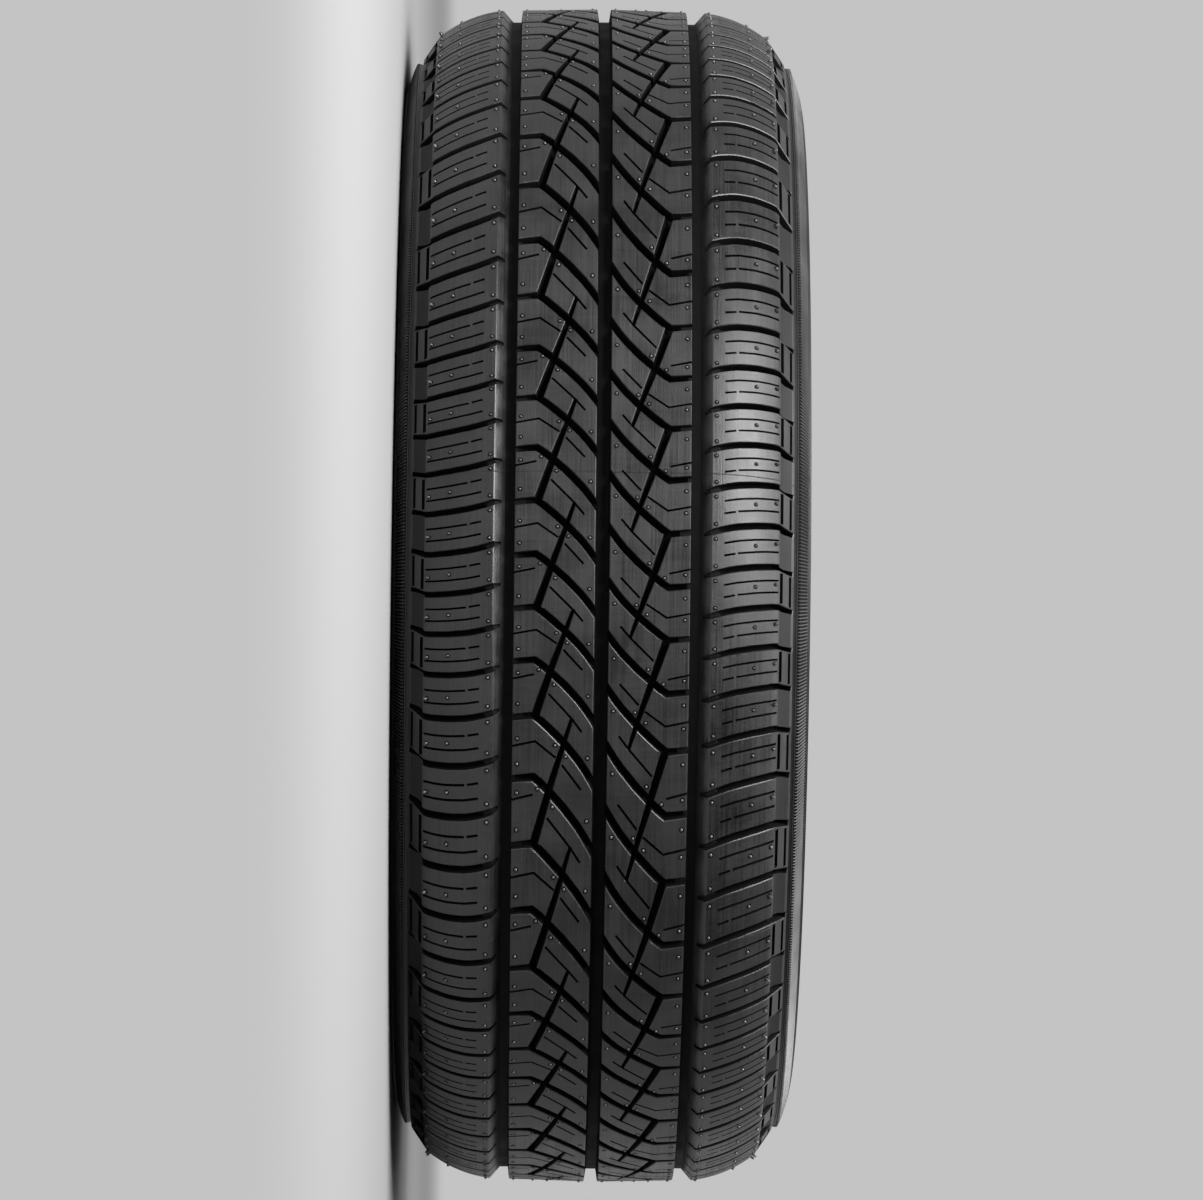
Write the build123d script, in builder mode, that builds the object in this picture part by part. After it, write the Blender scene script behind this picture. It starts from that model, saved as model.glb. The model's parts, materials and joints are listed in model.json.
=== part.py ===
from build123d import *
import os
from math import asin, atan2, cos, degrees, pi, radians, sin, tan

# Car tyre for an 18 inch rim, moulded in one piece and lying on its side.
# The axle is the Z axis and the origin is the middle of the tyre. All sizes are millimetres.

# Overall sizes
OUTER_DIAMETER = 705.0
SECTION_WIDTH = 235.0

# Beads, which grip the rim
BEAD_SEAT_DIAMETER = 462.0
BEAD_SPREAD = 190.0
BEAD_SEAT_WIDTH = 15.0
BEAD_HEEL = 5.0
BEAD_TOE_RISE = 3.0
BEAD_TOE_WIDTH = 4.0
FLANGE_HEIGHT = 19.0
FLANGE_LEAN = 3.0

# Ribs of the tread, across its width
CENTRE_RIB_WIDTH = 44.5
CENTRE_RIB_DROP = 1.2
SHOULDER_RIB_WIDTH = 37.2
SHOULDER_DROP = 2.2
SHOULDER_RADIUS = 75.0
SHOULDER_LEAN = 7.0
SHOULDER_FACETS = 2

# Place of the sidewall's widest ring, as a share of the way from the rim flange to the buttress
WIDEST_SHARE = 0.52

# Buttress between the tread edge and the sidewall
BUTTRESS_WIDTH = 12.0
BUTTRESS_HEIGHT = 17.6
BUTTRESS_STEP = 1.4

# Inner lining
CROWN_THICKNESS = 14.4
SHOULDER_THICKNESS = 16.0
SIDEWALL_THICKNESS = 7.0
BEAD_THICKNESS = 15.0
LINING_CROWN_WIDTH = 116.0
LINING_SHOULDER_LEAN = 33.0

# Grooves that run round the tyre
GROOVE_DEPTH = 8.0
CENTRE_GROOVE_WIDTH = 8.2
CENTRE_GROOVE_FLOOR = 5.6
MAIN_GROOVE_WIDTH = 11.6
MAIN_GROOVE_FLOOR = 5.2
MAIN_GROOVE_DRAFT = 0.9

# Grooves that run across the ribs
CENTRE_PITCHES = 66
SHOULDER_PITCHES = 84
CROSS_GROOVE_DEPTH = 6.5
CENTRE_CROSS_WIDTH = 4.0
CENTRE_BRIDGE = 9.0
SHOULDER_CROSS_WIDTH = 3.3
SHOULDER_CROSS_START = 6.0
SHOULDER_CROSS_REACH = 8.5

# Rise of the cross grooves along the tread, from the inner end to the outer, as a share of a pitch
CENTRE_CROSS_RISE = 1.2
SHOULDER_CROSS_RISE = -0.26

# Pitch of the pattern: it swells and shrinks in waves round the tyre, against tread noise
PITCH_WAVES = 5
PITCH_SWING = 0.14
PITCH_SECOND_SWING = 0.10
PITCH_SHORT_WAVES = 7
PITCH_SHORT_SWING = 0.06
PATTERN_ANGLE = -97.4
PATTERN_START = 1.3

# Turn of the upper half's pattern against the lower one, in degrees
UPPER_LEAD = 0.63

tread_radius = OUTER_DIAMETER / 2
seat_radius = BEAD_SEAT_DIAMETER / 2
centre_rib_inside = CENTRE_GROOVE_WIDTH / 2
centre_rib_outside = centre_rib_inside + CENTRE_RIB_WIDTH
shoulder_rib_inside = centre_rib_outside + MAIN_GROOVE_WIDTH
shoulder_rib_outside = shoulder_rib_inside + SHOULDER_RIB_WIDTH
rib_edge_radius = tread_radius - CENTRE_RIB_DROP
cutter_top = tread_radius + GROOVE_DEPTH

# Slants of the cross grooves: the angles that they make with the tyre's axle
centre_cross_reach = centre_rib_outside - CENTRE_BRIDGE
centre_pitch = 2 * pi * tread_radius / CENTRE_PITCHES
centre_slant = atan2(CENTRE_CROSS_RISE * centre_pitch, centre_cross_reach)
shoulder_pitch = 2 * pi * tread_radius / SHOULDER_PITCHES
shoulder_slant = atan2(SHOULDER_CROSS_RISE * shoulder_pitch, SHOULDER_RIB_WIDTH)

# Centre of the shoulder's arc, in the plane of the section
arc_radius = tread_radius - SHOULDER_DROP - SHOULDER_RADIUS * cos(radians(SHOULDER_LEAN))
arc_width = shoulder_rib_inside - SHOULDER_RADIUS * sin(radians(SHOULDER_LEAN))


def shoulder_lean(width, depth):
    """Lean in degrees of the shoulder's arc, sunk by depth, at a distance from the tyre's middle."""
    return degrees(asin((width - arc_width) / (SHOULDER_RADIUS - depth)))


def shoulder_point(lean, depth):
    """Point (radius, distance from the middle) of the shoulder's arc, sunk by depth, at a lean."""
    sunk = SHOULDER_RADIUS - depth
    return (arc_radius + sunk * cos(radians(lean)), arc_width + sunk * sin(radians(lean)))


def shoulder_chords(first, last, depth):
    """Points of straight chords along the shoulder's arc, sunk by depth, from one lean to another."""
    step = (last - first) / SHOULDER_FACETS
    return [shoulder_point(first + count * step, depth) for count in range(SHOULDER_FACETS + 1)]


def pattern_angle(nominal):
    """Angle about the axle, in degrees, of a place in the pattern that is given at an even pitch."""
    wave = radians(PITCH_WAVES * nominal)
    swell = PITCH_SECOND_SWING / 2 * sin(2 * wave) - PITCH_SWING * sin(wave)
    short_swell = -PITCH_SHORT_SWING * sin(radians(PITCH_SHORT_WAVES * nominal))
    shift = swell / PITCH_WAVES + short_swell / PITCH_SHORT_WAVES
    return PATTERN_ANGLE - nominal - degrees(shift)


def groove_angles(pitches, rise, side):
    """Angles of the middles of the cross grooves on one side; the other side is turned end for end."""
    step = 360 / pitches
    nominals = [PATTERN_START + (count - rise / 2) * step for count in range(pitches)]
    lead = UPPER_LEAD if side > 0 else 0
    return [pattern_angle(-side * nominal) + lead for nominal in nominals]


def tread_plane(angle, side):
    """Plane on the cross grooves' floor, with its x across a centre rib and its y along the tread."""
    outward = Vector(cos(radians(angle)), sin(radians(angle)), 0)
    return Plane(
        origin=outward * (tread_radius - CROSS_GROOVE_DEPTH), x_dir=(0, 0, side), z_dir=outward
    )


def shoulder_plane(angle, side):
    """Plane of a shoulder groove, with its x away from the axle and its y across the shoulder."""
    outward = Vector(cos(radians(angle)), sin(radians(angle)), 0)
    along = Vector(sin(radians(angle)), -cos(radians(angle)), 0) * side
    middle = (shoulder_rib_inside + shoulder_rib_outside) / 2
    across = Vector(0, 0, side) - along * tan(shoulder_slant)
    return Plane(
        origin=along * tan(shoulder_slant) * middle, x_dir=outward, z_dir=outward.cross(across)
    )


with BuildPart() as tyre:
    # Body: half of the section, from the crown to the bead and back along the lining, mirrored and spun
    with BuildSketch(Plane.XZ):
        with BuildLine():
            main_floor = rib_edge_radius - GROOVE_DEPTH
            floor_inside = centre_rib_outside + MAIN_GROOVE_DRAFT
            ribs = Polyline(
                (tread_radius - GROOVE_DEPTH, 0),
                (tread_radius - GROOVE_DEPTH, CENTRE_GROOVE_FLOOR / 2),
                (tread_radius, centre_rib_inside),
                (rib_edge_radius, centre_rib_outside),
                (main_floor, floor_inside),
                (main_floor, floor_inside + MAIN_GROOVE_FLOOR),
                *shoulder_chords(SHOULDER_LEAN, shoulder_lean(shoulder_rib_outside, 0), 0),
            )
            ring = ribs @ 1 + Vector(-BUTTRESS_HEIGHT, BUTTRESS_WIDTH)
            buttress = Polyline(ribs @ 1, ring, ring + Vector(0, BUTTRESS_STEP))
            flange = (seat_radius + FLANGE_HEIGHT, BEAD_SPREAD / 2 + FLANGE_LEAN)
            widest = (flange[0] + WIDEST_SHARE * (ring.X - flange[0]), SECTION_WIDTH / 2)
            TangentArc(widest, buttress @ 1, tangent=(1, 0))
            TangentArc(widest, flange, tangent=(-1, 0))
            seat_outside = BEAD_SPREAD / 2 - BEAD_HEEL
            seat_inside = seat_outside - BEAD_SEAT_WIDTH
            bead = Polyline(
                flange,
                (seat_radius + BEAD_HEEL, BEAD_SPREAD / 2),
                (seat_radius, seat_outside),
                (seat_radius, seat_inside),
                (seat_radius + BEAD_TOE_RISE, seat_inside - BEAD_TOE_WIDTH),
            )
            lining = Polyline(
                bead @ 1,
                (flange[0], flange[1] - BEAD_THICKNESS),
                (widest[0], widest[1] - SIDEWALL_THICKNESS),
                shoulder_point(LINING_SHOULDER_LEAN, SHOULDER_THICKNESS),
                (tread_radius - CROWN_THICKNESS, LINING_CROWN_WIDTH / 2),
                (tread_radius - CROWN_THICKNESS, 0),
            )
            Line(ribs @ 0, lining @ 1)
        make_face()
        mirror(about=Plane.XZ)
    revolve(axis=Axis.Z)

    # Slanting grooves across the centre ribs, from the centre groove to a bridge beside the main groove
    for side in (-1, 1):
        angles = groove_angles(CENTRE_PITCHES, CENTRE_CROSS_RISE, side)
        with BuildSketch(*[tread_plane(angle, side) for angle in angles]):
            with Locations((centre_cross_reach / 2, 0)):
                length = centre_cross_reach / cos(centre_slant)
                Rectangle(length, CENTRE_CROSS_WIDTH, rotation=-degrees(centre_slant))
    extrude(amount=cutter_top - tread_radius + CROSS_GROOVE_DEPTH, mode=Mode.SUBTRACT)

    # Grooves across the shoulders, out through the tread edge into the buttress
    first_lean = shoulder_lean(shoulder_rib_inside + SHOULDER_CROSS_START, CROSS_GROOVE_DEPTH)
    last_lean = shoulder_lean(shoulder_rib_outside + SHOULDER_CROSS_REACH, CROSS_GROOVE_DEPTH)
    chords = shoulder_chords(first_lean, last_lean, CROSS_GROOVE_DEPTH)
    floor_points = [(radius, width / cos(shoulder_slant)) for radius, width in chords]
    for side in (-1, 1):
        angles = groove_angles(SHOULDER_PITCHES, -SHOULDER_CROSS_RISE, side)
        with BuildSketch(*[shoulder_plane(angle, side) for angle in angles]):
            with BuildLine():
                Polyline(
                    *floor_points,
                    (cutter_top, floor_points[-1][1]),
                    (cutter_top, floor_points[0][1]),
                    close=True,
                )
            make_face()
    extrude(amount=SHOULDER_CROSS_WIDTH / 2, both=True, mode=Mode.SUBTRACT)

tyre.part.label = "tyre"
os.makedirs("parts", exist_ok=True)
export_step(tyre.part, "parts/tyre.step")
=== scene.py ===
import json
import logging
import math
from dataclasses import dataclass, replace
from enum import Enum
from typing import Callable, Self, Sequence

import bpy
import numpy as np
from mathutils import Matrix, Vector


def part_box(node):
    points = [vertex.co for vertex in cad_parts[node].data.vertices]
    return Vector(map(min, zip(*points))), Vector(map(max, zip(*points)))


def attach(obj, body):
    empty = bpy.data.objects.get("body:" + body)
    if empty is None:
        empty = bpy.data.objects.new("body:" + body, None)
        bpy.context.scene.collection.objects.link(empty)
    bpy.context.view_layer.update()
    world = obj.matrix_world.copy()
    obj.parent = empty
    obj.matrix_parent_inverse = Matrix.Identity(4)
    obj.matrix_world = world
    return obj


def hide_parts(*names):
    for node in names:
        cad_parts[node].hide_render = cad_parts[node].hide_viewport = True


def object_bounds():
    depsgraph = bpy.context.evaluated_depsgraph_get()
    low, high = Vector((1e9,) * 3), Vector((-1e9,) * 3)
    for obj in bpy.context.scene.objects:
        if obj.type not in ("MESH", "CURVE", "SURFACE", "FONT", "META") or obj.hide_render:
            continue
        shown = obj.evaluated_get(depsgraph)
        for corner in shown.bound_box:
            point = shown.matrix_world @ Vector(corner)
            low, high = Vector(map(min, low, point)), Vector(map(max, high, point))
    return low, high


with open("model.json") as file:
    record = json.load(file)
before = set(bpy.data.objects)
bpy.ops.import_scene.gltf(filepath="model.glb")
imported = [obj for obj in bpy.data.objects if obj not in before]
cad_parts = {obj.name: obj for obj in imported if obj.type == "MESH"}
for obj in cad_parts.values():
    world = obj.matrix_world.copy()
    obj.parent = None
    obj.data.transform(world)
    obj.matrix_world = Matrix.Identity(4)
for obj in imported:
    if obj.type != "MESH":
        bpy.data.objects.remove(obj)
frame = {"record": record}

LOG = logging.getLogger("tyre")

# The tread is modelled flat and in millimetres, and is wrapped round the tyre in metres.
MM = 0.001
NODE = "tyre"
BODY = "root"
CAD_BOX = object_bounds()

# Vertices nearer than this are merged, in metres.
WELD = 0.01 * MM

# Flat places nearer than this are the same, in millimetres.
TOUCH = 1e-3

# Edges that turn by more than this stay sharp, in degrees.
SHARP_ANGLE = 28.0

# Attribute of the tread's points: how deep they lie under the tread's surface, in millimetres.
DEPTH = "depth"

Point = tuple[float, float]
Spot = tuple[float, float, float]
Edges = tuple[float, float, float, float]
Piece = bpy.types.Object
Face = bpy.types.MeshPolygon
Material = bpy.types.Material
Tree = bpy.types.NodeTree
Socket = bpy.types.NodeSocket
Feed = Socket | float | Sequence[float]
Sockets = bpy.types.bpy_prop_collection


class Half(Enum):
    """The two halves of the tyre, on either side of its middle plane."""

    LOWER = -1
    UPPER = 1


class Patch(Enum):
    """Patches of a rib's surface, each with a rubber of its own, by their material number. The rubbers of the
    grooves, bars and hollows carry painted shade, the pips' rubber a painted highlight.
    """

    TOP = 0
    GROOVE_PAINTED_SHADE = 1
    BAR = 2
    PIP = 3
    HOLLOW_PAINTED_SHADE = 4


class Zone(Enum):
    """Zones of the casing's surface, each with a rubber of its own, by their material number. The groove
    floors and the band under the sidewall's ribs get the rubber with painted shade.
    """

    GROOVES = 0
    BAND = 1
    SIDEWALL = 2
    LINING = 3


def choose(*pieces: Piece) -> None:
    """Deselect everything, then select the pieces and make the first one active.

    Args:
        pieces: Objects to select.
    """
    for other in list(bpy.context.selected_objects):
        other.select_set(False)
    for piece in pieces:
        piece.select_set(True)
    bpy.context.view_layer.objects.active = pieces[0]


def open_mesh(piece: Piece) -> None:
    """Open a piece in edit mode with its whole mesh selected.

    Args:
        piece: Object to open.
    """
    choose(piece)
    bpy.ops.object.mode_set(mode="EDIT")
    bpy.ops.mesh.select_all(action="SELECT")


def close_mesh() -> None:
    """Go back to object mode."""
    bpy.ops.object.mode_set(mode="OBJECT")


def added(name: str) -> Piece:
    """Name the object that was added last and put its place and size into its mesh.

    Args:
        name: New name of the object and its mesh.

    Returns:
        The object, at the origin and unscaled.
    """
    piece = bpy.context.active_object
    piece.name = name
    piece.data.name = name
    choose(piece)
    bpy.ops.object.transform_apply(location=True, rotation=True, scale=True)
    return piece


def joined(pieces: Sequence[Piece]) -> Piece:
    """Join pieces into the first of them.

    Args:
        pieces: Objects to join.

    Returns:
        The first object.
    """
    choose(*pieces)
    bpy.ops.object.join()
    return pieces[0]


def apply_modifier(piece: Piece, kind: str, **settings: object) -> None:
    """Add a modifier to a piece, set it and apply it.

    Args:
        piece: Object that gets the modifier.
        kind: Type of the modifier, such as BOOLEAN.
        settings: Values of the modifier's properties.
    """
    modifier = piece.modifiers.new(kind.lower(), kind)
    for name, value in settings.items():
        setattr(modifier, name, value)
    choose(piece)
    bpy.ops.object.modifier_apply(modifier=modifier.name)


def corners(piece: Piece) -> np.ndarray:
    """Read the places of a piece's vertices.

    Args:
        piece: Object to read.

    Returns:
        An array with a row for each vertex.
    """
    places = np.empty(len(piece.data.vertices) * 3)
    piece.data.vertices.foreach_get("co", places)
    return places.reshape(-1, 3)


def set_corners(piece: Piece, places: np.ndarray) -> None:
    """Move a piece's vertices to new places, one row each."""
    piece.data.vertices.foreach_set("co", np.ascontiguousarray(places, dtype=np.float32).ravel())
    piece.data.update()


def smooth(piece: Piece) -> None:
    """Shade a piece smooth, apart from its sharp edges."""
    choose(piece)
    bpy.ops.object.shade_smooth_by_angle(angle=math.radians(SHARP_ANGLE))


def face_outwards(piece: Piece) -> None:
    """Turn the faces of a closed piece outwards.

    Args:
        piece: Object to mend.
    """
    open_mesh(piece)
    bpy.ops.mesh.normals_make_consistent(inside=False)
    close_mesh()


def bisect(place: Spot, normal: Spot, **clear: bool) -> None:
    """Slice the whole of the open mesh with a plane, and clear a side of it where that is asked."""
    bpy.ops.mesh.select_all(action="SELECT")
    bpy.ops.mesh.bisect(plane_co=place, plane_no=normal, **clear)


def take_away(piece: Piece, tool: Piece) -> None:
    """Cut the shape of a tool out of a piece and remove the tool."""
    apply_modifier(piece, "BOOLEAN", object=tool, operation="DIFFERENCE", solver="EXACT")
    bpy.data.meshes.remove(tool.data)


def hand_over(piece: Piece, *finishes: Material) -> None:
    """Give a finished piece its materials and its place in the frame, and report it.

    Args:
        piece: Finished object.
        finishes: Materials, in the order of the faces' material numbers.
    """
    for finish in finishes:
        piece.data.materials.append(finish)
    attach(piece, BODY)
    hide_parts(NODE)
    piece.data.calc_loop_triangles()
    LOG.info("%s: %d triangles", piece.name, len(piece.data.loop_triangles))


@dataclass(frozen=True)
class TyreSection:
    """Half of the tyre's section, in millimetres, as (radius, distance from the tyre's middle)."""

    tread_radius: float
    half_width: float
    seat_radius: float
    groove_depth: float = 8.0
    centre_rib_inside: float = 4.1
    centre_rib_outside: float = 48.6
    centre_rib_drop: float = 1.2
    centre_floor: float = 2.8
    main_floor_inside: float = 49.5
    main_floor_outside: float = 54.7
    shoulder_inside: float = 60.2
    shoulder_outside: float = 97.4
    shoulder_drop: float = 2.2
    shoulder_radius: float = 75.0
    shoulder_lean: float = math.radians(7.0)
    buttress_width: float = 12.0
    buttress_height: float = 17.6
    ring_step: float = 1.4
    widest_share: float = 0.52
    flange_height: float = 19.0
    flange_width: float = 98.0
    bead_width: float = 95.0
    heel: float = 5.0
    seat_width: float = 15.0
    toe_rise: float = 3.0
    toe_width: float = 4.0
    bead_thickness: float = 15.0
    sidewall_thickness: float = 7.0
    shoulder_thickness: float = 16.0
    lining_lean: float = math.radians(33.0)
    crown_thickness: float = 14.4
    lining_crown: float = 58.0

    @classmethod
    def from_frame(cls) -> Self:
        """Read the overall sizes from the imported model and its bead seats.

        Returns:
            The section.
        """
        low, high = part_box(NODE)
        seat = frame["record"]["mounts"][0]["dims"]["r_mm"]
        return cls((high.x - low.x) / 2 / MM, (high.z - low.z) / 2 / MM, seat)

    @property
    def widest_radius(self) -> float:
        """Radius of the sidewall's widest ring."""
        flange = self.seat_radius + self.flange_height
        return flange + self.widest_share * (self.ring()[0] - flange)

    @property
    def edge_lean(self) -> float:
        """Lean of the shoulder's arc at the tread edge, in radians."""
        return self.lean_at(self.shoulder_outside)

    @property
    def arc_centre(self) -> Point:
        """Centre of the shoulder's arc."""
        top = self.tread_radius - self.shoulder_drop
        return (
            top - self.shoulder_radius * math.cos(self.shoulder_lean),
            self.shoulder_inside - self.shoulder_radius * math.sin(self.shoulder_lean),
        )

    @property
    def arc_length(self) -> float:
        """Length of the shoulder's arc, from its inner edge to the tread edge."""
        return self.shoulder_radius * (self.edge_lean - self.shoulder_lean)

    @property
    def buttress_lean(self) -> float:
        """Lean of the straight buttress below the tread edge, in radians."""
        return math.atan2(self.buttress_height, self.buttress_width)

    @property
    def buttress_length(self) -> float:
        """Length of the straight buttress."""
        return math.hypot(self.buttress_height, self.buttress_width)

    def lean_at(self, width: float) -> float:
        """Lean of the shoulder's arc at a distance from the tyre's middle, in radians."""
        return math.asin((width - self.arc_centre[1]) / self.shoulder_radius)

    def shoulder_point(self, lean: float, depth: float) -> Point:
        """Point of the shoulder's arc.

        Args:
            lean: Lean of the arc's radius.
            depth: How far the point lies under the surface.

        Returns:
            Radius and distance from the middle.
        """
        radius, width = self.arc_centre
        sunk = self.shoulder_radius - depth
        return radius + sunk * math.cos(lean), width + sunk * math.sin(lean)

    def ring(self) -> Point:
        """Point where the buttress ends at the raised ring of the sidewall."""
        radius, width = self.shoulder_point(self.edge_lean, 0.0)
        return radius - self.buttress_height, width + self.buttress_width

    def sidewall(self, end: Point, share: float) -> Spot:
        """Point of the arc from the widest place to an end.

        Args:
            end: Radius and distance from the middle of the arc's end.
            share: Way along the arc, from 0 at the widest place to 1 at the end.

        Returns:
            Radius, distance from the middle, and lean in radians, which is negative below the widest place.
        """
        rise = end[0] - self.widest_radius
        fall = self.half_width - end[1]
        bow = (rise * rise + fall * fall) / (2 * fall)
        turn = share * math.asin(rise / bow)
        return self.widest_radius + bow * math.sin(turn), self.half_width - bow * (1 - math.cos(turn)), turn

    def upper_sidewall(self, share: float) -> Spot:
        """Point and lean of the arc from the widest place (share 0) to the ring (share 1)."""
        radius, width = self.ring()
        return self.sidewall((radius, width + self.ring_step), share)

    def lower_sidewall(self, share: float) -> Spot:
        """Point and lean of the arc from the widest place (share 0) to the rim flange (share 1)."""
        return self.sidewall((self.seat_radius + self.flange_height, self.flange_width), share)


@dataclass(frozen=True)
class PitchPlan:
    """Places round the tyre: the pitch of the pattern swells and shrinks in waves."""

    pitches: int
    start: float = 1.3
    zero_angle: float = -97.4
    waves: int = 5
    swing: float = 0.14
    second_swing: float = 0.10
    short_waves: int = 7
    short_swing: float = 0.06
    upper_lead: float = 0.63

    @property
    def step(self) -> float:
        """Even pitch in degrees."""
        return 360.0 / self.pitches

    def angles(self, shares: np.ndarray) -> np.ndarray:
        """Angles of places in the pattern.

        Args:
            shares: Places in pitches from the pattern's start.

        Returns:
            Angles about the axle, in radians.
        """
        nominal = self.start + shares * self.step
        wave = np.radians(self.waves * nominal)
        swell = self.second_swing / 2 * np.sin(2 * wave) - self.swing * np.sin(wave)
        short_swell = -self.short_swing * np.sin(np.radians(self.short_waves * nominal))
        shift = swell / self.waves + short_swell / self.short_waves
        return np.radians(self.zero_angle - nominal) - shift

    def end_for_end(self) -> Matrix:
        """Turn that lays the lower half's pattern on the upper half, with its lead in degrees."""
        angle = math.radians(self.zero_angle + self.upper_lead / 2)
        return Matrix.Rotation(math.pi, 4, Vector((math.cos(angle), math.sin(angle), 0)))


@dataclass(frozen=True)
class Cut:
    """Groove or thin cut in the flat tread.

    Its line goes through points (across mm, along in pitches, half width mm, depth mm). The draft is how much
    each wall leans back for a millimetre of depth. An endless cut runs round the tyre and isn't repeated.
    The ends of a sheared cut lie along the tread, whatever the slant of its line.
    """

    points: tuple[tuple[float, float, float, float], ...]
    draft: float = 0.0
    endless: bool = False
    sheared: bool = False

    def moved(self, pitches: float) -> Self:
        """Return the same cut, moved along the tread."""
        points = tuple((across, along + pitches, *sizes) for across, along, *sizes in self.points)
        return replace(self, points=points)

    def reaches(self, low: float, high: float) -> bool:
        """Tell whether the cut comes between two places along the tread, in pitches."""
        along = [point[1] for point in self.points]
        return max(along) > low and min(along) < high


def even_cut(half_width: float, depth: float, *places: Point) -> Cut:
    """Make a cut of even width and depth through places (across mm, along in pitches)."""
    return Cut(tuple((across, along, half_width, depth) for across, along in places))


@dataclass(frozen=True)
class TreadRib:
    """One rib of the tread's lower half: a flat cell of two pitches, repeated and wrapped round the tyre.

    Its vent pips are given as (across mm, along in pitches, height mm).
    """

    section: TyreSection
    plan: PitchPlan
    name: str = "tread_rib"
    cell_pitches: int = 2
    spare: float = 0.4
    bottom: float = -8.6
    cutter_top: float = 2.0
    chamfer_size: float = 0.4
    level_tilt: float = 0.9
    wall_tilt: float = 0.3
    floor_tilt: float = 0.8
    groove_depth: float = 6.5
    bar_depth: float = 3.2
    bar_margin: float = 0.8
    draft: float = 0.12
    sipe_half: float = 0.65
    sipe_depth: float = 4.5
    dish_radius: float = 1.45
    dish_depth: float = 0.9
    dish_sides: int = 10
    pip_radius: float = 0.85
    pip_rise: float = 0.05
    pip_root: float = 1.2
    pip_detail: int = 2
    pips: tuple[Spot, ...] = ()
    strips: int = 12
    twin_shift: float = 0.0

    @property
    def pitch(self) -> float:
        """Even pitch along the tread, in millimetres."""
        return math.radians(self.plan.step) * self.section.tread_radius

    @property
    def reach(self) -> Point:
        """Ends of the plate along the tread, in pitches."""
        return -self.spare, self.cell_pitches + self.spare

    def flat(self, across: float) -> float:
        """Flat place of a distance from the tyre's middle: the lower half lies on the minus side."""
        return -across

    def edges(self) -> Edges:
        """Flat places of the plate's sides: outer top, outer bottom, inner top and inner bottom."""
        raise NotImplementedError

    def grooves(self) -> list[Cut]:
        """Grooves of one cell."""
        raise NotImplementedError

    def sipes(self) -> list[Cut]:
        """Thin cuts of one cell."""
        raise NotImplementedError

    def folds(self) -> list[float]:
        """Flat places across the rib where the surface bends: a straight rib has none."""
        return []

    def lift(self, flat: np.ndarray, height: np.ndarray) -> tuple[np.ndarray, np.ndarray]:
        """Radii and distances from the middle of flat places at heights over the surface."""
        raise NotImplementedError

    def plate(self) -> Piece:
        """Add the rib's flat plate, a little longer than the cell, with its sloping sides.

        Returns:
            The plate.
        """
        outer_top, outer_bottom, inner_top, inner_bottom = self.edges()
        length = (self.cell_pitches + 2 * self.spare) * self.pitch
        middle = self.cell_pitches / 2 * self.pitch
        bpy.ops.mesh.primitive_cube_add(
            size=1,
            location=((outer_top + inner_top) / 2, middle, self.bottom / 2),
            scale=(inner_top - outer_top, length, -self.bottom),
        )
        piece = added(self.name)
        places = corners(piece)
        low = places[:, 2] < self.bottom / 2
        outer = places[:, 0] < (outer_top + inner_top) / 2
        places[low & outer, 0] = outer_bottom
        places[low & ~outer, 0] = inner_bottom
        set_corners(piece, places)
        return piece

    def cutter(self, cut: Cut) -> Piece:
        """Model the solid that a cut takes away: a grid extruded to a bar and set along the cut's line.

        Args:
            cut: Cut to model.

        Returns:
            The solid.
        """
        line = np.array([(self.flat(across), along * self.pitch) for across, along, _, _ in cut.points])
        halves = np.array([point[2] for point in cut.points])
        depths = np.array([point[3] for point in cut.points])
        runs = np.diff(line, axis=0)
        runs /= np.linalg.norm(runs, axis=1)[:, None]
        before = np.vstack([runs[:1], runs])
        after = np.vstack([runs, runs[-1:]])
        aim = before + after
        aim /= np.linalg.norm(aim, axis=1)[:, None]
        mitre = 1 / np.sum(aim * after, axis=1)
        aside = np.column_stack([-aim[:, 1], aim[:, 0]]) * mitre[:, None]
        if cut.sheared:
            aside[:] = (0, 1)
        bpy.ops.mesh.primitive_grid_add(x_subdivisions=len(line) - 1, y_subdivisions=1, size=1)
        piece = added("cutter")
        open_mesh(piece)
        bpy.ops.mesh.extrude_region_move(TRANSFORM_OT_translate={"value": (0, 0, 1)})
        close_mesh()
        bar = corners(piece)
        order = np.rint((bar[:, 0] + 0.5) * (len(line) - 1)).astype(int)
        height = np.where(bar[:, 2] > 0.5, self.cutter_top, -depths[order])
        reach = np.sign(bar[:, 1]) * (halves[order] + cut.draft * height)
        set_corners(piece, np.column_stack([line[order] + aside[order] * reach[:, None], height]))
        face_outwards(piece)
        return piece

    def carve(self, cell: Piece, cuts: Sequence[Cut]) -> None:
        """Take cuts out of the cell, with their repeats in the cells before and after it.

        Args:
            cell: Flat cell.
            cuts: Cuts of one cell.
        """
        for cut in cuts:
            for turn in (0,) if cut.endless else (-1, 0, 1):
                repeat = cut.moved(turn * self.cell_pitches)
                if repeat.reaches(*self.reach):
                    take_away(cell, self.cutter(repeat))

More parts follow.
